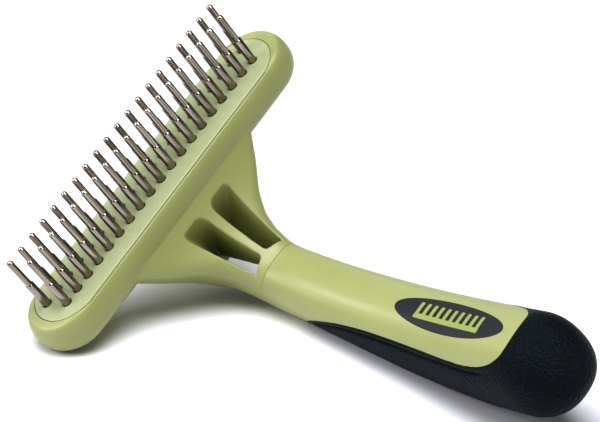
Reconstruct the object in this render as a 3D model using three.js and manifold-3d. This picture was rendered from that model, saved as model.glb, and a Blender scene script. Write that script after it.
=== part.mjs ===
// Undercoat rake for grooming a thick coat: a bar with two staggered rows of stepped steel pins,
// carried by a sloped yoke with two windows on a moulded handle with a rubber grip.
//
// The tool is drawn in its own frame, in millimetres: +X along the bar, +Y from the handle
// towards the bar, +Z along the pins, with the origin in the middle of the pin field, on the
// face that the pins stand on. At the end it is laid down the way it lies on a table, with the
// middle of its footprint at the origin.
import * as THREE from 'three';
import { ConvexHull } from 'three/addons/math/ConvexHull.js';
import { mergeVertices } from 'three/addons/utils/BufferGeometryUtils.js';
import Module from 'manifold-3d';

const wasm = await Module();
wasm.setup();

// ---------------------------------------------------------------- driving dimensions (mm)
const GAP = 0.3;                 // clearance between two moulded or pressed pieces

const PIN_PITCH = 5;             // along a row
const ROW_SPACING = 6.8;         // between the two rows
const BACK_PINS = 20;            // row away from the handle
const FRONT_PINS = 19;           // row on the handle's side, half a pitch out of step
const PIN_LENGTH = 19.7;         // above the face
const PIN_SHOULDER = 9.5;        // height where the pin steps down
const PIN_THICK_R = 1.3;
const PIN_THIN_R = 1.0;
const PIN_HEAD_R = 1.9;          // collar under the plate that keeps the pin in
const PIN_HEAD_HEIGHT = 1.2;
const PIN_SIDES = 10;

const BAR_HALF_LENGTH = 57.2;
const BAR_HALF_WIDTH = 12.3;
const BAR_BULGE = 0.2;           // how much fuller the bar is in the middle of its sides
const BAR_THICKNESS = 11.6;
const BAR_TOP_ROUND = { inset: 2.4, drop: 5.6 };
const BAR_BACK_ROUND = { inset: 5, drop: 5.6 };

const PLATE_HALF_LENGTH = 52.3;
const PLATE_HALF_WIDTH = 10.7;
const PLATE_THICKNESS = 3;
const LEDGE = 1.5;               // step in the bar that the plate sits on
const BACKING_THICKNESS = 2.6;

const YOKE_CREASE = { y: -12.6, z: -7.1 };      // where the yoke's top leaves the bar
const SEAM_TOP = { y: -32.5, z: -26.8 };        // and where it meets the handle
const YOKE_TURN = THREE.MathUtils.degToRad(22); // half the angle that its hollow top turns through
const WINDOW = {
  ribHalfAtBar: 1.8, ribHalfAtNeck: 1.1, outerAtBar: 10.9, outerAtNeck: 7.2,
  barEnd: -14.1, neckEndInner: -28.9, neckEndOuter: -30.3, corner: 2.4, leastWidth: 1.2,
  lean: THREE.MathUtils.degToRad(16), outerDraft: 0.36, ribDraft: 0.04, ribBottom: -31.5,
};

const TENON_INSET = 3;           // head's tenon inside the handle
const TENON_LENGTH = 14;
const RUBBER_THICKNESS = 2.4;

// ---------------------------------------------------------------- small helpers
const toSolid = (geometry) => {
  const bare = geometry.clone();
  bare.deleteAttribute('normal');
  bare.deleteAttribute('uv');
  const merged = mergeVertices(bare, 1e-4);
  return new wasm.Manifold(new wasm.Mesh({
    numProp: 3,
    vertProperties: new Float32Array(merged.attributes.position.array),
    triVerts: new Uint32Array(merged.index.array),
  }));
};

const toGeometry = (solid) => {
  const { vertProperties, triVerts } = solid.getMesh();
  const geometry = new THREE.BufferGeometry();
  geometry.setAttribute('position', new THREE.BufferAttribute(vertProperties, 3));
  geometry.setIndex(new THREE.BufferAttribute(triVerts, 1));
  geometry.computeVertexNormals();
  return geometry;
};

// Closed solid through rings of Vector3 with the same number of points, ends closed by fans.
function loft(rings) {
  const count = rings[0].length;
  const centre = (ring) => ring.reduce((sum, p) => sum.add(p), new THREE.Vector3())
    .divideScalar(count);
  const points = [...rings.flat(), centre(rings[0]), centre(rings.at(-1))];
  const firstCentre = points.length - 2;
  const lastCentre = points.length - 1;
  const lastRing = (rings.length - 1) * count;
  let index = [];
  for (let i = 0; i < count; i++) {
    const next = (i + 1) % count;
    for (let r = 0; r < lastRing; r += count) {
      index.push(r + i, r + next, r + count + i, r + next, r + count + next, r + count + i);
    }
    index.push(firstCentre, next, i, lastCentre, lastRing + i, lastRing + next);
  }
  const volume = index.reduce((sum, _, t) => (t % 3 ? sum
    : sum + points[index[t]].dot(points[index[t + 1]].clone().cross(points[index[t + 2]]))), 0);
  if (volume < 0) index = index.reverse();
  const geometry = new THREE.BufferGeometry().setFromPoints(points);
  geometry.setIndex(index);
  return geometry;
}

// Outline of a bar with half-round ends; the long sides may swell by `bulge` in the middle.
function barOutline(halfLength, halfWidth, bulge = 0) {
  const arcSteps = 10;
  const sideSteps = 4;
  const centreX = halfLength - halfWidth;
  const outline = [];
  for (const end of [1, -1]) {
    for (let i = 0; i <= arcSteps; i++) {
      const angle = Math.PI * (i / arcSteps - 0.5);
      const x = end * (centreX + halfWidth * Math.cos(angle));
      outline.push(new THREE.Vector2(x, end * halfWidth * Math.sin(angle)));
    }
    for (let i = 1; i < sideSteps; i++) {
      const x = end * centreX * (1 - (2 * i) / sideSteps);
      outline.push(new THREE.Vector2(x, end * (halfWidth + bulge * Math.cos(x / centreX * Math.PI / 2))));
    }
  }
  return outline;
}

const ringAt = (outline, z) => outline.map((p) => new THREE.Vector3(p.x, p.y, z));

// Straight block with the plan outline of a bar with half-round ends.
const barBlock = (halfLength, halfWidth, bottom, top) => toSolid(loft([
  ringAt(barOutline(halfLength, halfWidth), bottom),
  ringAt(barOutline(halfLength, halfWidth), top),
]));

// Polygon with its corners rounded, less so where a side is short.
function roundedShape(corners, radius) {
  const shape = new THREE.Shape();
  corners.forEach((corner, i) => {
    const before = corners.at(i - 1);
    const after = corners[(i + 1) % corners.length];
    const cut = Math.min(radius, 0.48 * before.distanceTo(corner), 0.48 * after.distanceTo(corner));
    const start = corner.clone().add(before.clone().sub(corner).setLength(cut));
    const end = corner.clone().add(after.clone().sub(corner).setLength(cut));
    if (i === 0) shape.moveTo(start.x, start.y);
    else shape.lineTo(start.x, start.y);
    shape.quadraticCurveTo(corner.x, corner.y, end.x, end.y);
  });
  shape.closePath();
  return shape;
}

// ---------------------------------------------------------------- pins
function pinPositions() {
  const row = (count, y) => Array.from({ length: count }, (_, i) => (
    { x: (i - (count - 1) / 2) * PIN_PITCH, y }));
  return {
    back: row(BACK_PINS, ROW_SPACING / 2),
    front: row(FRONT_PINS, -ROW_SPACING / 2),
  };
}

function pinGeometry() {
  const headTop = -PLATE_THICKNESS - GAP;
  const chamfer = PIN_THICK_R - PIN_THIN_R;
  const roundSteps = 2;
  const profile = [
    [0, headTop - PIN_HEAD_HEIGHT],
    [PIN_HEAD_R, headTop - PIN_HEAD_HEIGHT],
    [PIN_HEAD_R, headTop],
    [PIN_THICK_R, headTop],
    [PIN_THICK_R, PIN_SHOULDER - chamfer],
    [PIN_THIN_R, PIN_SHOULDER],
  ];
  for (let i = 0; i < roundSteps; i++) {
    const angle = (i / roundSteps) * Math.PI / 2;
    profile.push([PIN_THIN_R * Math.cos(angle),
      PIN_LENGTH - PIN_THIN_R + PIN_THIN_R * Math.sin(angle)]);
  }
  profile.push([0, PIN_LENGTH]);
  const points = profile.map(([r, z]) => new THREE.Vector2(r, z));
  return new THREE.LatheGeometry(points, PIN_SIDES).rotateX(Math.PI / 2);
}

// ---------------------------------------------------------------- bar
function barSolid() {
  const steps = 4;
  const rings = [];
  const ring = (inset, z) => rings.push(
    ringAt(barOutline(BAR_HALF_LENGTH - inset, BAR_HALF_WIDTH - inset, BAR_BULGE), z));
  for (let i = 0; i <= steps; i++) {
    const angle = (i / steps) * Math.PI / 2;
    ring(BAR_TOP_ROUND.inset * (1 - Math.sin(angle)),
      -BAR_TOP_ROUND.drop * (1 - Math.cos(angle)));
  }
  for (let i = 0; i <= steps; i++) {
    const angle = (i / steps) * Math.PI / 2;
    ring(BAR_BACK_ROUND.inset * (1 - Math.cos(angle)),
      -BAR_THICKNESS + BAR_BACK_ROUND.drop * (1 - Math.sin(angle)));
  }
  return toSolid(loft(rings));
}

// ---------------------------------------------------------------- yoke and handle body
// The yoke's top is an arc in side view, hollow upwards. Its centre and radius follow from its
// two ends and how far it turns.
const yokeArc = (() => {
  const start = new THREE.Vector2(YOKE_CREASE.y, YOKE_CREASE.z);
  const end = new THREE.Vector2(SEAM_TOP.y, SEAM_TOP.z);
  const chord = end.clone().sub(start);
  const radius = chord.length() / 2 / Math.sin(YOKE_TURN);
  const up = new THREE.Vector2(chord.y, -chord.x).normalize();
  const centre = start.clone().add(end).divideScalar(2)
    .addScaledVector(up, radius * Math.cos(YOKE_TURN));
  return { centre, radius, along: chord.normalize(), up };
})();

function onYoke(t) {
  const angle = (2 * t - 1) * YOKE_TURN;
  const point = yokeArc.centre.clone()
    .addScaledVector(yokeArc.along, yokeArc.radius * Math.sin(angle))
    .addScaledVector(yokeArc.up, -yokeArc.radius * Math.cos(angle));
  return { y: point.x, z: point.y };
}

const heightOnYoke = (y) => yokeArc.centre.y
  - Math.sqrt(yokeArc.radius ** 2 - (y - yokeArc.centre.x) ** 2);

// Stations of the body from inside the bar to the butt: the top and bottom point of each
// section in side view, its half width, how square its shoulders are (2 is an ellipse), and
// how far down it is widest.
const STATIONS = [
  { top: { y: -11.1, z: -3.4 }, bottom: { y: 1.7, z: -12.3 }, half: 33, square: 9, waist: 0.36 },
  { top: onYoke(0), bottom: { y: -0.9, z: -18 }, half: 28.3, square: 9, waist: 0.36 },
  { top: onYoke(0.25), bottom: { y: -1.7, z: -26.2 }, half: 21.9, square: 8, waist: 0.39 },
  { top: onYoke(0.46), bottom: { y: -4.3, z: -32.6 }, half: 15.6, square: 7, waist: 0.55 },
  { top: onYoke(0.64), bottom: { y: -8, z: -36.7 }, half: 11.9, square: 5, waist: 0.61 },
  { top: onYoke(0.82), bottom: { y: -14.7, z: -38.7 }, half: 9.9, square: 3.4, waist: 0.57 },
  { top: SEAM_TOP, bottom: { y: -26.2, z: -45.3 }, half: 8.8, square: 2.8, waist: 0.5 },
  { top: { y: -47.5, z: -28.4 }, bottom: { y: -46, z: -47.2 }, half: 9.3, square: 2.6, waist: 0.5 },
  { top: { y: -65, z: -28.8 }, bottom: { y: -65, z: -49 }, half: 10.3, square: 2.5, waist: 0.5 },
  { top: { y: -90, z: -26.8 }, bottom: { y: -90.5, z: -51 }, half: 11.6, square: 2.4, waist: 0.5 },
  { top: { y: -112, z: -23.6 }, bottom: { y: -116, z: -50 }, half: 12.6, square: 2.4, waist: 0.5 },
  { top: { y: -127, z: -20.6 }, bottom: { y: -134, z: -46.5 }, half: 13, square: 2.3, waist: 0.5 },
];
const RING_STATION = 6;          // the head and the handle meet here
const SECTION_POINTS = 32;
const END_LENGTH = 15;           // the butt's rounding beyond the last station

const sideCurve = (key) => new THREE.CatmullRomCurve3(
  STATIONS.map((s) => new THREE.Vector3(0, s[key].y, s[key].z)), false, 'centripetal');
const topCurve = sideCurve('top');
const bottomCurve = sideCurve('bottom');
const sizeCurve = new THREE.CatmullRomCurve3(
  STATIONS.map((s) => new THREE.Vector3(s.half, s.square, s.waist)), false, 'centripetal');

// Section across the body between its top and bottom points, widest at the waist: a flat top
// with rounded shoulders over a rounder underside.
function sectionRing(top, bottom, size, inset, scale = 1) {
  const [half, squareTop, waist] = size.toArray();
  const squareBottom = 2.3;
  const up = top.clone().sub(bottom);
  const height = up.length();
  up.normalize();
  const centre = top.clone().addScaledVector(up, -height * waist);
  const above = height * waist - inset;
  const below = height * (1 - waist) - inset;
  const middle = centre.clone().addScaledVector(up, (above - below) / 2 * (1 - scale));
  return Array.from({ length: SECTION_POINTS }, (_, i) => {
    const angle = (i / SECTION_POINTS) * 2 * Math.PI;
    const c = Math.cos(angle);
    const s = Math.sin(angle);
    const square = s > 0 ? squareTop : squareBottom;
    const lift = (s > 0 ? above : below) * scale * Math.sign(s) * Math.abs(s) ** (2 / square);
    const point = middle.clone().addScaledVector(up, lift);
    point.x = (half - inset) * scale * Math.sign(c) * Math.abs(c) ** (2 / square);
    return point;
  });
}

function bodySolid(inset = 0) {
  const stepsPerStation = 2;
  const steps = (STATIONS.length - 1) * stepsPerStation;
  const rings = [];
  for (let i = 0; i <= steps; i++) {
    const t = i / steps;
    rings.push(sectionRing(
      topCurve.getPoint(t), bottomCurve.getPoint(t), sizeCurve.getPoint(t), inset));
  }
  const top = topCurve.getPoint(1);
  const bottom = bottomCurve.getPoint(1);
  const along = new THREE.Vector3(0, -(top.z - bottom.z), top.y - bottom.y).normalize();
  const endSteps = 6;
  for (let i = 1; i <= endSteps; i++) {
    const angle = (i / endSteps) * Math.PI / 2 * 0.985;
    const shift = along.clone().multiplyScalar((END_LENGTH - inset) * Math.sin(angle));
    rings.push(sectionRing(top.clone().add(shift), bottom.clone().add(shift),
      sizeCurve.getPoint(1), inset, Math.cos(angle) ** 0.8));
  }
  return toSolid(loft(rings));
}

// Everything on the handle's side of the seam plane, moved `shift` along the handle.
function beyondSeam(shift) {
  const size = 400;
  const { top: upper, bottom: lower } = STATIONS[RING_STATION];
  const top = new THREE.Vector3(0, upper.y, upper.z);
  const bottom = new THREE.Vector3(0, lower.y, lower.z);
  const up = top.clone().sub(bottom).normalize();
  const along = new THREE.Vector3(0, -up.z, up.y);
  const box = new THREE.BoxGeometry(size, size, size);
  const basis = new THREE.Matrix4().makeBasis(new THREE.Vector3(1, 0, 0), along.clone().negate(), up);
  basis.setPosition(top.clone().addScaledVector(along, size / 2 + shift));
  return toSolid(box.applyMatrix4(basis));
}

// ---------------------------------------------------------------- head
// Cutter down through the yoke between two heights. cornersAt(depth) gives the outline's corners
// at a depth below the yoke's top, in order, as [x, y] where y is on the top; going down, they
// all lean towards the bar.
function yokeCutter(cornersAt, radius, bottom, top) {
  const outlineAt = (z) => {
    const moved = cornersAt((y) => heightOnYoke(y) - z).map(([x, y]) => new THREE.Vector2(
      x, y + (heightOnYoke(y) - z) * Math.tan(WINDOW.lean)));
    return roundedShape(moved, radius).getPoints(6).slice(0, -1);
  };
  const steps = 8;
  return toSolid(loft(Array.from({ length: steps + 1 }, (_, i) => {
    const z = bottom + (top - bottom) * i / steps;
    return ringAt(outlineAt(z), z);
  })));
}

// Window on one side of the rib: it narrows going down, by the draft of its walls.
function windowSolid(side) {
  const w = WINDOW;
  return yokeCutter((depthAt) => {
    const rib = (half, y) => half + w.ribDraft * depthAt(y);
    const outer = (half, ribHalf, y) => (
      Math.max(half - w.outerDraft * depthAt(y), rib(ribHalf, y) + w.leastWidth));
    return [
      [side * rib(w.ribHalfAtBar, w.barEnd), w.barEnd],
      [side * outer(w.outerAtBar, w.ribHalfAtBar, w.barEnd), w.barEnd],
      [side * outer(w.outerAtNeck, w.ribHalfAtNeck, w.neckEndOuter), w.neckEndOuter],
      [side * rib(w.ribHalfAtNeck, w.neckEndInner), w.neckEndInner],
    ];
  }, w.corner, -55, 0);
}

// The rib between the windows stops short of the underside.
function ribNotch() {
  const half = WINDOW.ribHalfAtBar + WINDOW.corner;
  return yokeCutter(() => [
    [-half, WINDOW.neckEndInner], [-half, WINDOW.barEnd],
    [half, WINDOW.barEnd], [half, WINDOW.neckEndInner],
  ], 0.5, -55, WINDOW.ribBottom);
}

function headSolid() {
  const cavityBottom = -PLATE_THICKNESS - 2 * GAP - PIN_HEAD_HEIGHT - BACKING_THICKNESS - GAP;
  const tenon = bodySolid(TENON_INSET).intersect(beyondSeam(-1)).subtract(beyondSeam(TENON_LENGTH));
  return barSolid()
    .add(bodySolid().subtract(beyondSeam(0)))
    .add(tenon)
    .subtract(barBlock(PLATE_HALF_LENGTH, PLATE_HALF_WIDTH, -PLATE_THICKNESS - GAP, 1))
    .subtract(barBlock(PLATE_HALF_LENGTH - LEDGE, PLATE_HALF_WIDTH - LEDGE, cavityBottom, 0))
    .subtract(windowSolid(1))
    .subtract(windowSolid(-1))
    .subtract(ribNotch());
}

function pinPlateSolid() {
  const { back, front } = pinPositions();
  let plate = barBlock(PLATE_HALF_LENGTH - GAP, PLATE_HALF_WIDTH - GAP, -PLATE_THICKNESS, 0);
  for (const { x, y } of [...back, ...front]) {
    const hole = new THREE.CylinderGeometry(PIN_THICK_R + GAP, PIN_THICK_R + GAP, 10, PIN_SIDES);
    plate = plate.subtract(toSolid(hole.rotateX(Math.PI / 2).translate(x, y, 0)));
  }
  return plate;
}

function backingSolid() {
  const top = -PLATE_THICKNESS - 2 * GAP - PIN_HEAD_HEIGHT;
  return barBlock(PLATE_HALF_LENGTH - LEDGE - GAP, PLATE_HALF_WIDTH - LEDGE - GAP,
    top - BACKING_THICKNESS, top);
}

// ---------------------------------------------------------------- handle
// Seam between the hard top of the handle and the rubber, as (y, z) in side view. Across the
// handle it leans: it lies lower towards +X by `perMm`, and has these heights at x = levelX. The
// lean fades out towards the butt.
const RUBBER_EDGE = [
  [-38, -48], [-44, -40], [-50, -36.6], [-58, -34], [-69, -32.2], [-82, -31], [-94, -30],
  [-106, -28.8], [-115, -27.4], [-121, -25.7], [-126, -23.3], [-129.4, -20.4], [-131.5, -12],
];
const EDGE_LEAN = { perMm: 0.16, levelX: -10.5, fadeFrom: -104, fadeTo: -122 };

function edgeLean(x, y) {
  const fade = THREE.MathUtils.smoothstep(y, EDGE_LEAN.fadeTo, EDGE_LEAN.fadeFrom);
  return EDGE_LEAN.perMm * fade * (x - EDGE_LEAN.levelX);
}

// Everything above that seam, with the seam moved down by `grow`.
function hardSideSolid(grow) {
  const shape = new THREE.Shape();
  const edge = RUBBER_EDGE.map(([y, z]) => new THREE.Vector2(y - grow * 0.4, z - grow));
  shape.moveTo(0, 20);
  shape.lineTo(edge.at(-1).x, 20);
  shape.lineTo(edge.at(-1).x, edge.at(-1).y);
  shape.splineThru(edge.toReversed().slice(1));
  shape.lineTo(0, -60);
  shape.closePath();
  const width = 60;
  const geometry = new THREE.ExtrudeGeometry(shape, {
    depth: width, bevelEnabled: false, curveSegments: 3,
  });
  // shape x, y and depth become the tool's Y, Z and X
  const axes = new THREE.Matrix4().makeBasis(
    new THREE.Vector3(0, 1, 0), new THREE.Vector3(0, 0, 1), new THREE.Vector3(1, 0, 0));
  geometry.translate(0, 0, -width / 2).applyMatrix4(axes);
  const { position } = geometry.attributes;
  for (let i = 0; i < position.count; i++) {
    position.setZ(i, position.getZ(i) - edgeLean(position.getX(i), position.getY(i)));
  }
  return toSolid(geometry);
}

const BADGE = { y: -102.8, halfLength: 21.8, halfWidth: 5.0, depth: 1 };

function badgePrism(grow) {
  const shape = new THREE.Shape();
  shape.absellipse(0, BADGE.y, BADGE.halfWidth + grow, BADGE.halfLength + grow, 0, 2 * Math.PI);
  const geometry = new THREE.ExtrudeGeometry(shape, {
    depth: 60, bevelEnabled: false, curveSegments: 12,
  });
  return toSolid(geometry.translate(0, 0, -38));
}

function coreSolid() {
  const handle = bodySolid().intersect(beyondSeam(GAP));
  const inner = bodySolid(RUBBER_THICKNESS).intersect(beyondSeam(GAP));
  const socket = bodySolid(TENON_INSET - GAP).intersect(beyondSeam(-1))
    .subtract(beyondSeam(TENON_LENGTH + GAP));
  const badgePocket = badgePrism(GAP).subtract(bodySolid(BADGE.depth + GAP));
  return handle.intersect(hardSideSolid(0)).add(inner).subtract(socket).subtract(badgePocket);
}

function gripSolid() {
  return bodySolid().intersect(beyondSeam(GAP))
    .subtract(hardSideSolid(GAP))
    .subtract(bodySolid(RUBBER_THICKNESS - GAP));
}

function badgeSolid() {
  return badgePrism(0).intersect(bodySolid()).subtract(bodySolid(BADGE.depth));
}

// ---------------------------------------------------------------- materials and assembly
const finish = (color, roughness, metalness = 0) => (
  new THREE.MeshStandardMaterial({ color, roughness, metalness }));
const green = finish(0x9fa865, 0.45);
const plateGreen = finish(0xb4c08a, 0.5);
const steel = finish(0x9d978f, 0.25, 1);
const rubber = finish(0x1b1f22, 0.8);
const charcoal = finish(0x2f343a, 0.5);
const liner = finish(0x8f959a, 0.6);

const tool = new THREE.Group();

function addPiece(name, geometry, material) {
  const mesh = new THREE.Mesh(geometry, material);
  mesh.name = name;
  tool.add(mesh);
  return mesh;
}

addPiece('head_frame', toGeometry(headSolid()), green);
addPiece('pin_plate', toGeometry(pinPlateSolid()), plateGreen);
addPiece('backing_bar', toGeometry(backingSolid()), liner);
addPiece('handle_core', toGeometry(coreSolid()), green);
addPiece('rubber_grip', toGeometry(gripSolid()), rubber);
addPiece('oval_badge', toGeometry(badgeSolid()), charcoal);
for (const [row, places] of Object.entries(pinPositions())) {
  places.forEach(({ x, y }, i) => {
    const number = String(i + 1).padStart(2, '0');
    addPiece(`${row}_pin_${number}`, pinGeometry(), steel).position.set(x, y, 0);
  });
}

// ---------------------------------------------------------------- lying on a table
// The tool rests on its bar's -X end and the underside of its handle. The table is the widest
// face of the tool's convex hull that looks that way.
function tableNormal() {
  const roughlyDown = new THREE.Vector3(-0.5, 0.1, -0.85).normalize();
  const hull = new ConvexHull().setFromObject(tool);
  const looking = hull.faces.filter((face) => face.normal.dot(roughlyDown) > 0.97);
  return looking.reduce((widest, face) => (face.area > widest.area ? face : widest)).normal;
}

const up = tableNormal().clone().negate();
const along = new THREE.Vector3(0, 1, 0).projectOnPlane(up).normalize();
const across = along.clone().cross(up);
tool.applyMatrix4(new THREE.Matrix4().makeBasis(across, along, up).transpose());

const box = new THREE.Box3().setFromObject(tool, true);
const middle = box.getCenter(new THREE.Vector3());
tool.position.sub(new THREE.Vector3(middle.x, middle.y, box.min.z));

const part = new THREE.Group();
part.add(tool);

export default part;
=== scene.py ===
"""Looks of the undercoat rake: moulded green plastic, stepped steel pins and a pebbled rubber grip.

Shapes are worked out in the tool's own frame, in millimetres: +X along the bar, +Y from the
handle towards the bar, +Z along the pins, origin in the middle of the pin field on its face.
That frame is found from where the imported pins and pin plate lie.
"""

import math

import bmesh
import bpy
import numpy as np
from mathutils import Matrix, Vector


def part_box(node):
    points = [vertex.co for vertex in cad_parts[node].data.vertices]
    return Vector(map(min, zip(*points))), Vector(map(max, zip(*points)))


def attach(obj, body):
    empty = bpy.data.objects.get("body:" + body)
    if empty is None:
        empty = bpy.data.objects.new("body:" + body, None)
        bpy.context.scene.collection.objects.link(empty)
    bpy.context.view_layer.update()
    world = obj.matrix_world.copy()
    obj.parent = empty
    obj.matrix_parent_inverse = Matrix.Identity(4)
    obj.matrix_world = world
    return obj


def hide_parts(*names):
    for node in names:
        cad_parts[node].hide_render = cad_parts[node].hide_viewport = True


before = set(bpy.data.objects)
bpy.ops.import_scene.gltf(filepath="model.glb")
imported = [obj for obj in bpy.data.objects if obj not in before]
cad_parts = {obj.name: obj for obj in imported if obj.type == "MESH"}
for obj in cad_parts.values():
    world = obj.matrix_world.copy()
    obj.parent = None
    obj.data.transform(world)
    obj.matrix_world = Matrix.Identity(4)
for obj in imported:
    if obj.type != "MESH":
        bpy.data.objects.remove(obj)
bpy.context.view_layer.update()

MM = 0.001
VOXEL = 0.28                # mm, of the head's remeshed skin

# ------------------------------------------------------------------ the tool's frame


def centre(node):
    low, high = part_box(node)
    return (Vector(low) + Vector(high)) / 2


PLATE_THICKNESS = 3.0
x_axis = (centre("back_pin_20") - centre("back_pin_01")).normalized()
rows = centre("back_pin_01") - centre("front_pin_01")
y_axis = (rows - x_axis * rows.dot(x_axis)).normalized()
z_axis = x_axis.cross(y_axis)
TOOL = Matrix((x_axis, y_axis, z_axis)).transposed().to_4x4()
TOOL.translation = centre("pin_plate") + z_axis * (PLATE_THICKNESS / 2 * MM)

# ------------------------------------------------------------------ dimensions (mm)
PIN_PITCH = 5.0
ROW_SPACING = 6.8
BACK_PINS = 20
FRONT_PINS = 19
PIN_LENGTH = 19.7
PIN_SHOULDER = 9.5
PIN_THICK_R = 1.3
PIN_THIN_R = 1.0
HOLE_R = 1.42
COLLAR_R = 1.9

BAR_HALF_LENGTH = 57.2
BAR_HALF_WIDTH = 12.3
BAR_BULGE = 0.2
BAR_THICKNESS = 11.6
BAR_TOP_ROUND = (2.4, 5.6)  # how far its edges run in and down, on top
BAR_BACK_ROUND = (5.0, 5.6)
PLATE_HALF_LENGTH = 52.3
PLATE_HALF_WIDTH = 10.7
POCKET_FLOOR = -PLATE_THICKNESS - 0.3       # z under the plate, where the pins' collars begin
COLLAR_BOTTOM = -PLATE_THICKNESS - 1.4

YOKE_CREASE = np.array((-12.6, -7.1))       # y, z where the yoke's top leaves the bar
SEAM_TOP = np.array((-32.5, -26.8))         # and where it meets the handle
YOKE_TURN = math.radians(22)                # half the angle that its hollow top turns through
PARTING = 0.08                              # visible line round the plate
SEAM_GAP = 0.05                             # and between the head and the handle

# The yoke's top is an arc in side view, hollow upwards.
chord = SEAM_TOP - YOKE_CREASE
ARC_ALONG = chord / np.linalg.norm(chord)
ARC_UP = np.array((ARC_ALONG[1], -ARC_ALONG[0]))
ARC_RADIUS = np.linalg.norm(chord) / 2 / math.sin(YOKE_TURN)
ARC_CENTRE = (YOKE_CREASE + SEAM_TOP) / 2 + ARC_UP * ARC_RADIUS * math.cos(YOKE_TURN)


def on_yoke(t):
    """(y, z) on that arc, from the bar at t = 0 to the seam at t = 1."""
    angle = (2 * t - 1) * YOKE_TURN
    across = ARC_ALONG * math.sin(angle) - ARC_UP * math.cos(angle)
    return tuple(ARC_CENTRE + across * ARC_RADIUS)


def height_on_yoke(y):
    """z of the yoke's top at y."""
    return ARC_CENTRE[1] - math.sqrt(ARC_RADIUS ** 2 - (y - ARC_CENTRE[0]) ** 2)


# Stations of the body from inside the bar to the butt: top point, bottom point, half width,
# how square its shoulders are, and how far down from the top it is widest.
STATIONS = [
    ((-11.1, -3.4), (1.7, -12.3), 33.0, 9.0, 0.36),
    (on_yoke(0), (-0.9, -18.0), 28.3, 9.0, 0.36),
    (on_yoke(0.25), (-1.7, -26.2), 21.9, 8.0, 0.39),
    (on_yoke(0.46), (-4.3, -32.6), 15.6, 7.0, 0.55),
    (on_yoke(0.64), (-8.0, -36.7), 11.9, 5.0, 0.61),
    (on_yoke(0.82), (-14.7, -38.7), 9.9, 3.4, 0.57),
    (tuple(SEAM_TOP), (-26.2, -45.3), 8.8, 2.8, 0.5),
    ((-47.5, -28.4), (-46.0, -47.2), 9.3, 2.6, 0.5),
    ((-65.0, -28.8), (-65.0, -49.0), 10.3, 2.5, 0.5),
    ((-90.0, -26.8), (-90.5, -51.0), 11.6, 2.4, 0.5),
    ((-112.0, -23.6), (-116.0, -50.0), 12.6, 2.4, 0.5),
    ((-127.0, -20.6), (-134.0, -46.5), 13.0, 2.3, 0.5),
]
SEAM_STATION = 6            # the head and the handle meet here
STATION_STEPS = 24          # rings of the skin from one station to the next
END_LENGTH = 15.0           # of the rounded butt past the last station
END_STEPS = 60
END_TURN = 0.985            # share of its quarter turn, so that the last ring isn't a point
END_FULLNESS = 0.8          # less than 1 makes the butt blunter

# ------------------------------------------------------------------ curves and lofts


def smooth_path(points, t):
    """Point at t (0 to 1) on a centripetal Catmull-Rom curve through the points."""
    points = np.asarray(points, float)
    before = 2 * points[0] - points[1]
    after = 2 * points[-1] - points[-2]
    padded = np.vstack([before, points, after])
    along = t * (len(points) - 1)
    i = min(int(along), len(points) - 2)
    w = along - i
    p0, p1, p2, p3 = padded[i:i + 4]
    d1 = max(np.linalg.norm(p2 - p1) ** 0.5, 1e-4)
    d0 = np.linalg.norm(p1 - p0) ** 0.5 or d1
    d2 = np.linalg.norm(p3 - p2) ** 0.5 or d1
    start = ((p1 - p0) / d0 - (p2 - p0) / (d0 + d1) + (p2 - p1) / d1) * d1
    end = ((p2 - p1) / d1 - (p3 - p1) / (d1 + d2) + (p3 - p2) / d2) * d1
    return (p1 + start * w + (-3 * p1 + 3 * p2 - 2 * start - end) * w ** 2
            + (2 * p1 - 2 * p2 + start + end) * w ** 3)


def loft(rings):
    """Vertices and faces of a closed skin through rings of (n, 3) points."""
    rings = [np.asarray(r, float) for r in rings]
    n = len(rings[0])
    verts = np.vstack(rings + [rings[0].mean(0)[None], rings[-1].mean(0)[None]])
    first, last = len(verts) - 2, len(verts) - 1
    base = (len(rings) - 1) * n
    faces = []
    for i in range(n):
        j = (i + 1) % n
        for r in range(0, base, n):
            faces.append((r + i, r + j, r + n + j, r + n + i))
        faces.append((first, j, i))
        faces.append((last, base + i, base + j))
    return verts, faces


def bar_outline(half_length, half_width, bulge=0.0, arc_steps=40, side_steps=24):
    """Round-ended (x, y) outline whose long sides swell by bulge in the middle."""
    centre_x = half_length - half_width
    points = []
    for end in (1, -1):
        for i in range(arc_steps + 1):
            a = math.pi * (i / arc_steps - 0.5)
            points.append((end * (centre_x + half_width * math.cos(a)),
                           end * half_width * math.sin(a)))
        for i in range(1, side_steps):
            x = end * centre_x * (1 - 2 * i / side_steps)
            swell = bulge * math.cos(x / centre_x * math.pi / 2)
            points.append((x, end * (half_width + swell)))
    return np.array(points)


def at_height(outline, z):
    """Ring of (x, y, z) points over an (x, y) outline."""
    return np.column_stack([outline, np.full(len(outline), z)])


def section_ring(top, bottom, size, inset, scale=1.0, count=288):
    """Section across the body, inset by that much: square shoulders over a rounder underside."""
    half, square_top, waist = size
    square_bottom = 2.3
    up = top - bottom
    height = np.linalg.norm(up)
    up = up / height
    above = height * waist - inset
    below = height * (1 - waist) - inset
    middle = top - up * height * waist + up * ((above - below) / 2 * (1 - scale))
    angle = np.arange(count) / count * 2 * math.pi
    c, s = np.cos(angle), np.sin(angle)
    square = np.where(s > 0, square_top, square_bottom)
    lift = np.where(s > 0, above, below) * scale * np.sign(s) * np.abs(s) ** (2 / square)
    x = (half - inset) * scale * np.sign(c) * np.abs(c) ** (2 / square)
    return np.column_stack([x, middle[0] + up[0] * lift, middle[1] + up[1] * lift])


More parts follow.
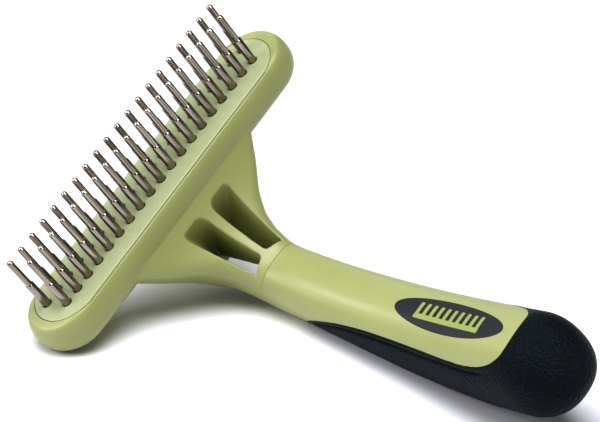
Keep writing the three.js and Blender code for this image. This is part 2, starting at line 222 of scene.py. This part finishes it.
def body_loft(inset=0.0):
    """Skin of the whole body, yoke and handle in one, inset by that many mm."""
    tops = [s[0] for s in STATIONS]
    bottoms = [s[1] for s in STATIONS]
    sizes = [s[2:] for s in STATIONS]
    steps = (len(STATIONS) - 1) * STATION_STEPS
    rings = []
    for i in range(steps + 1):
        t = i / steps
        rings.append(section_ring(smooth_path(tops, t), smooth_path(bottoms, t),
                                  smooth_path(sizes, t), inset))
    top, bottom = np.array(tops[-1]), np.array(bottoms[-1])
    up = top - bottom
    along = np.array((-up[1], up[0])) / np.linalg.norm(up)
    for i in range(1, END_STEPS + 1):
        a = i / END_STEPS * math.pi / 2 * END_TURN
        shift = along * (END_LENGTH - inset) * math.sin(a)
        rings.append(section_ring(top + shift, bottom + shift, sizes[-1], inset,
                                  math.cos(a) ** END_FULLNESS))
    return loft(rings)


def prism(outline, low, high):
    """Straight block over a flat (x, y) outline between two heights."""
    return loft([at_height(outline, low), at_height(outline, high)])


def side_prism(outline, half_width):
    """Block over a side-view (y, z) outline, from -half_width to half_width along X."""
    outline = np.asarray(outline, float)
    return loft([np.column_stack([np.full(len(outline), x), outline])
                 for x in (-half_width, half_width)])


def rounded_polygon(corners, radii, steps=10):
    """Polygon with its corners rounded, less so where a side is short."""
    corners = np.asarray(corners, float)
    points = []
    for i, corner in enumerate(corners):
        to_before = corners[i - 1] - corner
        to_after = corners[(i + 1) % len(corners)] - corner
        sides = np.linalg.norm(to_before), np.linalg.norm(to_after)
        cut = min(radii[i], 0.48 * min(sides))
        start = corner + to_before / sides[0] * cut
        end = corner + to_after / sides[1] * cut
        for t in np.linspace(0, 1, steps):
            points.append((1 - t) ** 2 * start + 2 * t * (1 - t) * corner + t ** 2 * end)
    return np.array(points)


# ------------------------------------------------------------------ meshes and modifiers


def new_object(name, verts, faces, unit=MM):
    mesh = bpy.data.meshes.new(name)
    mesh.from_pydata([tuple(v) for v in np.asarray(verts) * unit], [], faces)
    mesh.validate()
    obj = bpy.data.objects.new(name, mesh)
    bpy.context.scene.collection.objects.link(obj)
    bpy.context.view_layer.update()
    orient_outward(obj.data)
    return obj


def orient_outward(mesh):
    bm = bmesh.new()
    bm.from_mesh(mesh)
    bmesh.ops.recalc_face_normals(bm, faces=bm.faces)
    bm.to_mesh(mesh)
    bm.free()


def apply_modifiers(obj):
    """obj's mesh becomes what its modifiers make of it."""
    depsgraph = bpy.context.evaluated_depsgraph_get()
    mesh = bpy.data.meshes.new_from_object(obj.evaluated_get(depsgraph))
    old = obj.data
    obj.modifiers.clear()
    obj.data = mesh
    bpy.data.meshes.remove(old)


def carve_with(obj, operation, helper):
    """Joins, cuts or intersects obj with the helper object, which is used up."""
    modifier = obj.modifiers.new("carve", "BOOLEAN")
    modifier.operation = operation
    modifier.solver = "MANIFOLD"
    modifier.object = helper
    apply_modifiers(obj)
    mesh = helper.data
    bpy.data.objects.remove(helper)
    bpy.data.meshes.remove(mesh)


def carve(obj, *steps):
    """carve_with for each (operation, (verts, faces)) in turn."""
    for operation, shape in steps:
        carve_with(obj, operation, new_object("helper", *shape))


def coordinates(obj):
    """The object's vertices as an (n, 3) array in mm."""
    flat = np.empty(len(obj.data.vertices) * 3)
    obj.data.vertices.foreach_get("co", flat)
    return flat.reshape(-1, 3) / MM


def mould(obj, rounds, softness):
    """Even, soft-edged skin: voxel remesh, then smoothing, as strong as softness(points) says."""
    remesh = obj.modifiers.new("remesh", "REMESH")
    remesh.mode = "VOXEL"
    remesh.voxel_size = VOXEL * MM
    apply_modifiers(obj)
    group = obj.vertex_groups.new(name="soften")
    levels = np.round(softness(coordinates(obj)) * 10).astype(int)
    for level in range(1, 11):
        group.add([int(i) for i in np.flatnonzero(levels == level)], level / 10, "REPLACE")
    smooth = obj.modifiers.new("smooth", "SMOOTH")
    smooth.factor = 0.5
    smooth.iterations = rounds
    smooth.vertex_group = "soften"
    apply_modifiers(obj)
    obj.vertex_groups.clear()
    obj.data.shade_smooth()


def crisp(obj, angle):
    """Smooth shading, but sharp where faces meet at more than angle degrees."""
    obj.data.shade_smooth()
    obj.data.set_sharp_from_angle(angle=math.radians(angle))


def place(obj, material, nodes, offset=(0, 0, 0)):
    """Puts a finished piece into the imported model's frame, in place of those CAD nodes."""
    obj.data.transform(TOOL @ Matrix.Translation(Vector(offset) * MM))
    obj.data.materials.clear()
    obj.data.materials.append(material)
    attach(obj, "root")
    if nodes:
        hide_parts(*nodes)
    return obj


# ------------------------------------------------------------------ materials


class Shader:
    """A Principled material and short ways to add procedural detail to it."""

    def __init__(self, name, **settings):
        self.material = bpy.data.materials.new(name)
        self.material.use_nodes = True
        self.tree = self.material.node_tree
        self.bsdf = self.tree.nodes["Principled BSDF"]
        for key, value in settings.items():
            self.bsdf.inputs[key.replace("_", " ")].default_value = value
        turned = self.node("ShaderNodeMapping")
        turned.inputs["Rotation"].default_value = TOOL.to_3x3().inverted().to_euler()
        self.link(self.node("ShaderNodeTexCoord").outputs["Object"], turned.inputs["Vector"])
        self.position = turned.outputs["Vector"]    # along the tool's own axes, in metres

    def node(self, kind, **settings):
        made = self.tree.nodes.new(kind)
        for key, value in settings.items():
            setattr(made, key, value)
        return made

    def link(self, out, into):
        self.tree.links.new(out, into)

    def noise(self, scale, detail=3.0, stretch=(1, 1, 1)):
        mapping = self.node("ShaderNodeMapping")
        mapping.inputs["Scale"].default_value = stretch
        self.link(self.position, mapping.inputs["Vector"])
        noise = self.node("ShaderNodeTexNoise")
        noise.inputs["Scale"].default_value = scale
        noise.inputs["Detail"].default_value = detail
        self.link(mapping.outputs["Vector"], noise.inputs["Vector"])
        return noise.outputs["Fac"]

    def span(self, value, low, high, start=0.3, end=0.7):
        """value, which lies mostly between start and end, stretched to low to high."""
        spread = self.node("ShaderNodeMapRange")
        spread.inputs["From Min"].default_value = start
        spread.inputs["From Max"].default_value = end
        spread.inputs["To Min"].default_value = low
        spread.inputs["To Max"].default_value = high
        self.link(value, spread.inputs["Value"])
        return spread.outputs["Result"]

    def tint(self, value, low, high, start=0.3, end=0.7):
        """Base colour running from low to high with value."""
        ramp = self.node("ShaderNodeValToRGB")
        ramp.color_ramp.elements[0].position = start
        ramp.color_ramp.elements[0].color = (*low, 1)
        ramp.color_ramp.elements[1].position = end
        ramp.color_ramp.elements[1].color = (*high, 1)
        self.link(value, ramp.inputs["Fac"])
        self.link(ramp.outputs["Color"], self.bsdf.inputs["Base Color"])

    def bump(self, height, strength, distance):
        """Adds a bump on top of those already there."""
        bump = self.node("ShaderNodeBump")
        bump.inputs["Strength"].default_value = strength
        bump.inputs["Distance"].default_value = distance
        self.link(height, bump.inputs["Height"])
        earlier = self.bsdf.inputs["Normal"].links
        if earlier:
            self.link(earlier[0].from_socket, bump.inputs["Normal"])
        self.link(bump.outputs["Normal"], self.bsdf.inputs["Normal"])


def moulded_plastic(name, low, high, roughness, grain):
    shader = Shader(name, Roughness=roughness, IOR=1.49, Subsurface_Weight=0.06,
                    Subsurface_Radius=(0.9, 1.0, 0.35), Subsurface_Scale=0.0015)
    shader.tint(shader.noise(38, detail=4), low, high)
    shader.link(shader.span(shader.noise(160, detail=4), roughness - 0.05, roughness + 0.05),
                shader.bsdf.inputs["Roughness"])
    shader.bump(shader.noise(1900, detail=2), strength=grain, distance=0.00004)
    shader.bump(shader.noise(55, detail=2), strength=0.06, distance=0.0004)
    return shader.material


def steel_material():
    """Drawn steel, streaked along the pins."""
    shader = Shader("pin_steel", Metallic=1.0, Roughness=0.2)
    shader.tint(shader.noise(420, stretch=(1, 1, 0.1)),
                low=(0.23, 0.20, 0.168), high=(0.38, 0.345, 0.305))
    shader.link(shader.span(shader.noise(900, stretch=(1, 1, 0.15)), 0.13, 0.26),
                shader.bsdf.inputs["Roughness"])
    shader.bump(shader.noise(1500, detail=2, stretch=(1, 1, 0.04)), strength=0.35, distance=0.00004)
    return shader.material


def rubber_material():
    """Black rubber whose pebbles and grain fade out where the grip's pebbled attribute is 0."""
    shader = Shader("grip_rubber", Roughness=0.44, IOR=1.5, Specular_IOR_Level=0.08)
    shader.tint(shader.noise(70, detail=4),
                low=(0.0048, 0.0084, 0.0112), high=(0.0070, 0.0116, 0.0150))
    pebbled = shader.node("ShaderNodeAttribute", attribute_name="pebbled").outputs["Fac"]
    cells = shader.node("ShaderNodeTexVoronoi", feature="SMOOTH_F1")
    cells.inputs["Scale"].default_value = 1500
    cells.inputs["Smoothness"].default_value = 0.6
    shader.link(shader.position, cells.inputs["Vector"])
    relief = ((cells.outputs["Distance"], 1.0, 0.00042), (shader.noise(2600), 0.5, 0.00015))
    for height, strength, distance in relief:
        faded = shader.node("ShaderNodeMath", operation="MULTIPLY")
        shader.link(height, faded.inputs[0])
        shader.link(pebbled, faded.inputs[1])
        shader.bump(faded.outputs["Value"], strength, distance)
    shader.link(shader.span(pebbled, 0.36, 0.46, start=0, end=1),
                shader.bsdf.inputs["Roughness"])
    return shader.material


def inlay_material():
    shader = Shader("badge_plastic", Roughness=0.45, Specular_IOR_Level=0.3)
    shader.tint(shader.noise(90), low=(0.0125, 0.0155, 0.0195), high=(0.0165, 0.0200, 0.0245))
    shader.bump(shader.noise(2400, detail=2), strength=0.2, distance=0.00003)
    return shader.material


def print_material():
    shader = Shader("mark_print", Roughness=0.5)
    shader.tint(shader.noise(300), low=(0.25, 0.29, 0.085), high=(0.27, 0.31, 0.095))
    shader.bump(shader.noise(2400, detail=2), strength=0.15, distance=0.00003)
    return shader.material


green = moulded_plastic("green_plastic", low=(0.288, 0.311, 0.128),
                        high=(0.307, 0.331, 0.140), roughness=0.38, grain=0.18)
# The pin plate's plastic is a paler, greyer copy of the green. The grey-white in its base colour is
# painted sheen, not the plastic's own tone.
plate_green_painted_sheen = moulded_plastic("plate_plastic", low=(0.333, 0.367, 0.210),
                              high=(0.353, 0.387, 0.228), roughness=0.40, grain=0.22)
steel = steel_material()
rubber = rubber_material()
inlay = inlay_material()
mark_print = print_material()

# ------------------------------------------------------------------ head: bar and yoke
# A window at the yoke's top: x of its rib side and its outer side at the bar's end and the neck's,
# and y of those ends. The drafts are mm of x per mm of depth.
WINDOW = {
    "rib_half_at_bar": 1.8, "rib_half_at_neck": 1.1, "rib_draft": 0.04,
    "outer_at_bar": 10.9, "outer_at_neck": 7.2, "outer_draft": 0.36, "outer_bow": 0.75,
    "bar_end": -14.1, "neck_end_inner": -28.9, "neck_end_outer": -30.3,
    "least_width": 1.2, "lean": math.radians(16), "rib_bottom": -31.5,
}
WINDOW_CORNERS = (2.9, 2.3, 0.8, 1.2)       # radii, from the rib's bar end round
CUT_BOTTOM = -55                            # z under the yoke, where its cutters start
ROUND_STEPS = 12                            # rings over each of the bar's rounded edges


def bar_loft():
    """The bar, from its face down to its back."""
    rings = []
    inset, drop = BAR_TOP_ROUND
    for i in range(ROUND_STEPS + 1):
        a = i / ROUND_STEPS * math.pi / 2
        rings.append((inset * (1 - math.sin(a)), -drop * (1 - math.cos(a))))
    inset, drop = BAR_BACK_ROUND
    for i in range(ROUND_STEPS + 1):
        a = i / ROUND_STEPS * math.pi / 2
        rings.append((inset * (1 - math.cos(a)), -BAR_THICKNESS + drop * (1 - math.sin(a))))
    return loft([at_height(bar_outline(BAR_HALF_LENGTH - inset, BAR_HALF_WIDTH - inset,
                                       BAR_BULGE), z) for inset, z in rings])


def yoke_cutter(outline_at, bottom, top, steps=24):
    """Cutter down through the yoke. outline_at(depth_of) gives its (x, y) outline at one height,
    where depth_of(y) is how deep that height lies under the yoke's top."""
    rings = []
    for z in np.linspace(bottom, top, steps):
        rings.append(at_height(outline_at(lambda y: height_on_yoke(y) - z), z))
    return loft(rings)


def leaned(y, depth):
    """The windows lean towards the bar going down."""
    return y + depth * math.tan(WINDOW["lean"])


def window(side):
    """Cutter for the window on the +X side (side 1) or the -X side (side -1)."""
    w = WINDOW

    def outline(depth_of):
        def rib(half, y):
            return half + w["rib_draft"] * depth_of(y)

        def outer(half, rib_half, y):
            return max(half - w["outer_draft"] * depth_of(y), rib(rib_half, y) + w["least_width"])

        bar, inner, outermost = w["bar_end"], w["neck_end_inner"], w["neck_end_outer"]
        corners = [
            (rib(w["rib_half_at_bar"], bar), leaned(bar, depth_of(bar))),
            (outer(w["outer_at_bar"], w["rib_half_at_bar"], bar), leaned(bar, depth_of(bar))),
            (outer(w["outer_at_neck"], w["rib_half_at_neck"], outermost),
             leaned(outermost, depth_of(outermost))),
            (rib(w["rib_half_at_neck"], inner), leaned(inner, depth_of(inner))),
        ]
        points = rounded_polygon(corners, WINDOW_CORNERS)
        y_bar, y_neck = corners[1][1], corners[2][1]
        along = np.clip((points[:, 1] - y_neck) / (y_bar - y_neck), 0, 1)
        middle = (points[:, 0].min() + points[:, 0].max()) / 2
        outward = np.clip((points[:, 0] - middle) / (points[:, 0].max() - middle), 0, 1)
        points[:, 0] -= w["outer_bow"] * 4 * along * (1 - along) * outward
        points[:, 0] *= side
        return points

    return yoke_cutter(outline, CUT_BOTTOM, 0)


def rib_notch():
    """The rib between the windows stops short of the underside."""
    w = WINDOW
    half = w["rib_half_at_bar"] + WINDOW_CORNERS[1]
    corner_radius = 0.5

    def outline(depth_of):
        inner = leaned(w["neck_end_inner"], depth_of(w["neck_end_inner"]))
        bar = leaned(w["bar_end"], depth_of(w["bar_end"]))
        return rounded_polygon([(-half, inner), (-half, bar), (half, bar), (half, inner)],
                               (corner_radius,) * 4)

    return yoke_cutter(outline, CUT_BOTTOM, w["rib_bottom"])


SEAM_BOTTOM = np.array(STATIONS[SEAM_STATION][1])
SEAM_UP = (SEAM_TOP - SEAM_BOTTOM) / np.linalg.norm(SEAM_TOP - SEAM_BOTTOM)
SEAM_ALONG = np.array((-SEAM_UP[1], SEAM_UP[0]))      # y, z of the handle's direction


def beyond_seam(shift):
    """Everything on the handle's side of the seam plane, moved shift mm along the handle."""
    start = SEAM_TOP + SEAM_ALONG * shift
    above, below, length, half_width = SEAM_UP * 60, SEAM_UP * 90, SEAM_ALONG * 200, 60
    corners = [start + above, start - below, start - below + length, start + above + length]
    return side_prism(corners, half_width)


def past_seam(points):
    """How far each point lies past the seam plane, along the handle."""
    return (points[:, 1:] - SEAM_TOP) @ SEAM_ALONG


def make_head():
    head = new_object("head_shell", *bar_loft())
    pocket = prism(bar_outline(PLATE_HALF_LENGTH, PLATE_HALF_WIDTH), POCKET_FLOOR, 2)
    carve(head, ("UNION", body_loft()), ("DIFFERENCE", beyond_seam(0)),
          ("DIFFERENCE", pocket), ("DIFFERENCE", window(1)), ("DIFFERENCE", window(-1)),
          ("DIFFERENCE", rib_notch()))

    def softness(points):
        """Least within 0.3 mm of the seam and of the face round the plate, which stay sharp."""
        least, rim_width = 0.15, 0.6
        to_seam = np.abs(past_seam(points))
        near_plate = np.abs(points[:, 1]) < PLATE_HALF_WIDTH + rim_width
        to_face = np.where(near_plate, np.abs(points[:, 2]), np.inf)
        return np.clip(np.minimum(to_seam, to_face) - least, least, 1)

    mould(head, rounds=8, softness=softness)
    place(head, green, ["head_frame"])


# ------------------------------------------------------------------ plate and pins
PLATE_EDGE = [              # (inset, z) from the plate's back over its rounded rim onto its face
    (0, -PLATE_THICKNESS), (0, -0.18), (0.04, -0.06), (0.14, 0), (0.3, 0), (0.5, 0), (0.75, 0),
    (1.1, 0),
]
HOLE_CUT = [                # (radius, z) of a pin hole's cutter, a little wider at the face
    (0, -5), (HOLE_R, -5), (HOLE_R, -0.3), (HOLE_R + 0.06, -0.1), (HOLE_R + 0.3, 0.1),
    (HOLE_R + 0.3, 1), (0, 1),
]


def pin_places():
    """(x, y) of the pins in each row."""
    rows_at = {"back": (BACK_PINS, ROW_SPACING / 2), "front": (FRONT_PINS, -ROW_SPACING / 2)}
    return {row: [((i - (count - 1) / 2) * PIN_PITCH, y) for i in range(count)]
            for row, (count, y) in rows_at.items()}


def revolve(profile, sides):
    """Vertices and faces of a lathed (radius, z) profile that starts and ends on the axis."""
    rings = []
    for r, z in profile[1:-1]:
        a = np.arange(sides) / sides * 2 * math.pi
        rings.append(np.column_stack([r * np.cos(a), r * np.sin(a), np.full(sides, z)]))
    verts, faces = loft(rings)
    verts[-2] = (0, 0, profile[0][1])
    verts[-1] = (0, 0, profile[-1][1])
    return verts, faces


def bar_drop(points):
    """How far the bar's rounded edge lies below its face at each (x, y)."""
    inset, drop = BAR_TOP_ROUND
    past_straight = np.maximum(np.abs(points[:, 0]) - (BAR_HALF_LENGTH - BAR_HALF_WIDTH), 0)
    to_edge = BAR_HALF_WIDTH - np.hypot(past_straight, points[:, 1])
    rounded = np.clip(1 - to_edge / inset, 0, 1)
    return drop * (1 - np.sqrt(1 - rounded ** 2))


def make_plate():
    """The pin plate, whose face dips with the bar's rounded edge."""
    half_length, half_width = PLATE_HALF_LENGTH - PARTING, PLATE_HALF_WIDTH - PARTING
    rings = [at_height(bar_outline(half_length - inset, half_width - inset), z)
             for inset, z in PLATE_EDGE]
    for ring in rings[1:]:
        ring[:, 2] -= bar_drop(ring)
    plate = new_object("plate_face", *loft(rings))
    hole, hole_faces = revolve(HOLE_CUT, sides=32)
    places = pin_places()["back"] + pin_places()["front"]
    verts = np.vstack([hole + (x, y, 0) for x, y in places])
    faces = [tuple(i + n * len(hole) for i in f) for n in range(len(places)) for f in hole_faces]
    carve(plate, ("DIFFERENCE", (verts, faces)))
    crisp(plate, 32)
    # the plate's paler, greyer base colour is painted sheen
    place(plate, plate_green_painted_sheen, ["pin_plate"])


def pin_profile():
    """(radius, z) of a pin from its collar to its tip. Small steps soften the shoulder's edges."""
    chamfer = PIN_SHOULDER - 0.28
    profile = [(0, COLLAR_BOTTOM), (COLLAR_R, COLLAR_BOTTOM), (COLLAR_R, POCKET_FLOOR),
               (PIN_THICK_R, POCKET_FLOOR), (PIN_THICK_R, chamfer - 0.06),
               (PIN_THICK_R - 0.03, chamfer), (PIN_THIN_R + 0.05, PIN_SHOULDER),
               (PIN_THIN_R, PIN_SHOULDER + 0.08)]
    crown, crown_steps = PIN_THIN_R * 0.9, 8
    for i in range(crown_steps):
        a = i / crown_steps * math.pi / 2
        profile.append((PIN_THIN_R * math.cos(a), PIN_LENGTH - crown + crown * math.sin(a)))
    return profile + [(0, PIN_LENGTH)]


def make_pins():
    pins = []
    for row, places in pin_places().items():
        for i, (x, y) in enumerate(places):
            name = f"{row}_pin_{i + 1:02d}"
            pin = new_object(f"{name}_turned", *revolve(pin_profile(), sides=36))
            crisp(pin, 28)
            pins.append(place(pin, steel, [name], (x, y, 0)))
    return pins


# ------------------------------------------------------------------ handle
# Seam between the hard top of the handle and the rubber, as (y, z) in side view.
RUBBER_EDGE = [
    (-38, -48), (-44, -40), (-50, -36.6), (-58, -34), (-69, -32.2), (-82, -31), (-94, -30),
    (-106, -28.8), (-115, -27.4), (-121, -25.7), (-126, -23.3), (-129.4, -20.4), (-131.5, -12),
]
EDGE_STEPS = 144
EDGE_LEAN = 0.16            # how much lower the edge is, per mm towards +X
EDGE_LEVEL_X = 10.5         # it has the heights above this far to the -X side
EDGE_LEAN_SPAN = (-122.0, -104.0)   # y: the lean fades out towards the butt between these
CORE_INSET = 2.4            # how far the hard part lies under the skin where rubber covers it
RUBBER_THICKNESS = 2.3

# The rubber's relief beside its edge: distance from the edge, half width and height.
GROOVE = (1.6, 0.32, -0.45)
LIP = (0.75, 0.4, 0.12)
RELIEF_END = -128           # y where the relief has faded out
RELIEF_FADE = 8             # mm over which it does
PEBBLES_FROM = 1.75         # mm from the edge, where the pebbling starts
PEBBLES_FADE = 0.5

BADGE = {"y": -102.8, "half_length": 21.8, "half_width": 5.0, "depth": 1.0, "gap": 0.06}
BADGE_CUT_BOTTOM = -38      # z inside the handle, where the block for the inlay starts
MARK_CUT_BOTTOM = -36       # and the blocks for the mark


def edge_lean(points):
    """How far the rubber's edge lies lower at each point than its side-view outline says."""
    low, high = EDGE_LEAN_SPAN
    fade = np.clip((points[:, 1] - low) / (high - low), 0, 1)
    return EDGE_LEAN * fade * fade * (3 - 2 * fade) * (points[:, 0] + EDGE_LEVEL_X)


def rubber_edge():
    return np.array([smooth_path(RUBBER_EDGE, t) for t in np.linspace(0, 1, EDGE_STEPS + 1)])


def hard_side(grow):
    """Block over everything above the rubber's edge, grown by that many mm. Its underside leans,
    so the edge runs lower on the side that faces +X."""
    edge = rubber_edge()
    run = np.gradient(edge, axis=0)
    out = np.column_stack([run[:, 1], -run[:, 0]]) / np.linalg.norm(run, axis=1)[:, None]
    edge = edge - out * np.sign(out[len(out) // 2, 1]) * grow
    above, below, half_width = 20, -60, 40
    outline = [(0, above), (edge[-1][0], above), *edge[::-1], (0, below)]
    verts, faces = side_prism(outline, half_width)
    verts[:, 2] -= edge_lean(verts)
    return verts, faces


def badge_prism(grow):
    """Oval block through the top of the handle, grown by that many mm."""
    sides = 96
    a = np.arange(sides) / sides * 2 * math.pi
    outline = np.column_stack([(BADGE["half_width"] + grow) * np.cos(a),
                               BADGE["y"] + (BADGE["half_length"] + grow) * np.sin(a)])
    return prism(outline, BADGE_CUT_BOTTOM, 0)


def make_core():
    core = new_object("handle_shell", *body_loft())
    carve(core, ("INTERSECT", hard_side(0)), ("UNION", body_loft(CORE_INSET)),
          ("INTERSECT", beyond_seam(SEAM_GAP)))
    pocket = new_object("pocket", *badge_prism(BADGE["gap"]))
    carve(pocket, ("DIFFERENCE", body_loft(BADGE["depth"])))
    carve_with(core, "DIFFERENCE", pocket)
    crisp(core, 38)
    place(core, green, ["handle_core"])


def edge_distance(points):
    """Side-view distance of each point from the rubber's edge, in mm."""
    level = np.column_stack([points[:, 1], points[:, 2] + edge_lean(points)])
    edge = rubber_edge()
    best = np.full(len(points), 1e9)
    for a, b in zip(edge[:-1], edge[1:]):
        ab = b - a
        t = np.clip(((level - a) @ ab) / (ab @ ab), 0, 1)
        best = np.minimum(best, np.linalg.norm(level - a - t[:, None] * ab, axis=1))
    return best


def ridge(distance, at, half_width, height):
    """Height of a soft ridge, or groove if below 0, that runs along the rubber's edge."""
    return height * np.exp(-((distance - at) / half_width) ** 2)


def make_grip():
    grip = new_object("grip_skin", *body_loft())
    carve(grip, ("DIFFERENCE", hard_side(PARTING)), ("DIFFERENCE", body_loft(RUBBER_THICKNESS)),
          ("INTERSECT", beyond_seam(SEAM_GAP)))

    # a smooth lip along the edge with a fine groove beside it, fading out towards the butt
    points = coordinates(grip)
    distance = edge_distance(points)
    fade = np.clip((points[:, 1] - RELIEF_END) / RELIEF_FADE, 0, 1)
    normals = np.empty(len(points) * 3)
    grip.data.vertices.foreach_get("normal", normals)
    relief = (ridge(distance, *GROOVE) + ridge(distance, *LIP)) * fade
    points = points + normals.reshape(-1, 3) * relief[:, None]
    grip.data.vertices.foreach_set("co", (points * MM).ravel())
    past_lip = np.clip((distance - PEBBLES_FROM) / PEBBLES_FADE, 0, 1)
    pebbled = past_lip * fade + (1 - fade) * np.clip(distance, 0, 1)
    attribute = grip.data.attributes.new("pebbled", "FLOAT", "POINT")
    attribute.data.foreach_set("value", pebbled)
    crisp(grip, 38)
    return place(grip, rubber, ["rubber_grip"])


# ------------------------------------------------------------------ oval inlay and its mark


def make_badge():
    badge = new_object("badge_inlay", *badge_prism(0))
    carve(badge, ("INTERSECT", body_loft()), ("DIFFERENCE", body_loft(BADGE["depth"])))
    crisp(badge, 35)
    place(badge, inlay, ["oval_badge"])


def make_mark():
    """A plain comb: a spine along the inlay with a row of tines."""
    tines, tine_half, tine_length = 10, 0.65, 3.6
    spine_x, spine_half, spine_width = -1.7, 13.0, 1.5
    end_margin, corner_radius = 0.8, 0.4
    raised, sunk = 0.06, 0.2

    def block(x_low, x_high, y_low, y_high):
        corners = [(x_low, y_low), (x_high, y_low), (x_high, y_high), (x_low, y_high)]
        outline = rounded_polygon(corners, (corner_radius,) * 4, steps=5)
        return prism(outline, MARK_CUT_BOTTOM, 0)

    mark = new_object("comb_mark", *block(spine_x - spine_width / 2, spine_x + spine_width / 2,
                                          BADGE["y"] - spine_half, BADGE["y"] + spine_half))
    steps = []
    for i in range(tines):
        y = BADGE["y"] + (i / (tines - 1) - 0.5) * 2 * (spine_half - end_margin)
        steps.append(("UNION", block(spine_x, spine_x + spine_width / 2 + tine_length,
                                     y - tine_half, y + tine_half)))
    carve(mark, *steps, ("INTERSECT", body_loft(-raised)), ("DIFFERENCE", body_loft(sunk)))
    crisp(mark, 35)
    place(mark, mark_print, [])


make_head()
make_plate()
pins = make_pins()
make_core()
grip = make_grip()
make_badge()
make_mark()

# The CAD liner stays as it is, with a material of its own.
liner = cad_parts["backing_bar"]
liner_look = Shader("liner_plastic", Roughness=0.6)
liner_look.tint(liner_look.noise(60), low=(0.25, 0.28, 0.30), high=(0.29, 0.32, 0.34))
liner.data.materials.clear()
liner.data.materials.append(liner_look.material)

# ------------------------------------------------------------------ stage, light and camera (m)
MIDDLE = Vector((0, 0, 0.03))       # what the lights face


def make_floor():
    half = 6.0
    corners = [(-half, -half, 0), (half, -half, 0), (half, half, 0), (-half, half, 0)]
    floor = new_object("floor", corners, [(0, 1, 2, 3)], unit=1.0)
    look = Shader("floor_paper", Roughness=0.9)
    look.bsdf.inputs["Base Color"].default_value = (0.90, 0.90, 0.945, 1)
    look.bsdf.inputs["Specular IOR Level"].default_value = 0.1
    floor.data.materials.append(look.material)


def area_light(name, place_at, size, power):
    data = bpy.data.lights.new(name, "AREA")
    data.shape = "RECTANGLE"
    data.size, data.size_y = size
    data.energy = power
    light = bpy.data.objects.new(name, data)
    bpy.context.scene.collection.objects.link(light)
    light.location = place_at
    light.rotation_euler = (MIDDLE - Vector(place_at)).to_track_quat("-Z", "Y").to_euler()
    return light


def reflection_card(name, place_at, size, power, receivers=None):
    """A light that only shows as gloss, and with receivers only on those objects."""
    card = area_light(name, place_at, size, power)
    card.visible_diffuse = False
    if receivers:
        group = bpy.data.collections.new(f"{name}_receivers")
        for obj in receivers:
            group.objects.link(obj)
        card.light_linking.receiver_collection = group


make_floor()
area_light("overhead", (-0.2, -0.2, 1.45), (1.15, 1.15), 23.5)
area_light("left_fill", (-0.95, 0.55, 0.62), (0.6, 0.6), 6)
reflection_card("left_card", (-0.52, 0.94, 0.72), (0.2, 0.25), 2.6)
reflection_card("back_card", (0.35, 1.3, 0.75), (2.2, 1.1), 6)
reflection_card("front_card", (0.1, -1.2, 0.7), (0.7, 0.4), 14, [grip] + pins)

world = bpy.data.worlds.new("studio")
world.use_nodes = True
background = world.node_tree.nodes["Background"]
background.inputs["Color"].default_value = (0.94, 0.94, 1, 1)
background.inputs["Strength"].default_value = 0.13
bpy.context.scene.world = world
bpy.context.scene.view_settings.view_transform = "Standard"
bpy.context.scene.view_settings.look = "High Contrast"

# The camera looks at AIM, in the middle of the tool, and is turned a little round its own axis.
AIM = Vector((0.0024, 0.0080, 0.0455))
DISTANCE = 0.6998
AZIMUTH = math.radians(-41.18)
ELEVATION = math.radians(26.15)
ROLL = math.radians(3.04)

camera_data = bpy.data.cameras.new("camera")
camera_data.sensor_width = 36.0
camera_data.lens = 156.0
camera_data.clip_end = 20.0
camera = bpy.data.objects.new("camera", camera_data)
bpy.context.scene.collection.objects.link(camera)
turn = Matrix.Rotation(AZIMUTH, 4, "Z") @ Matrix.Rotation(math.pi / 2 - ELEVATION, 4, "X")
turn = turn @ Matrix.Rotation(-ROLL, 4, "Z")
camera.matrix_world = Matrix.Translation(AIM) @ turn @ Matrix.Translation((0, 0, DISTANCE))
bpy.context.scene.camera = camera

bpy.context.view_layer.update()
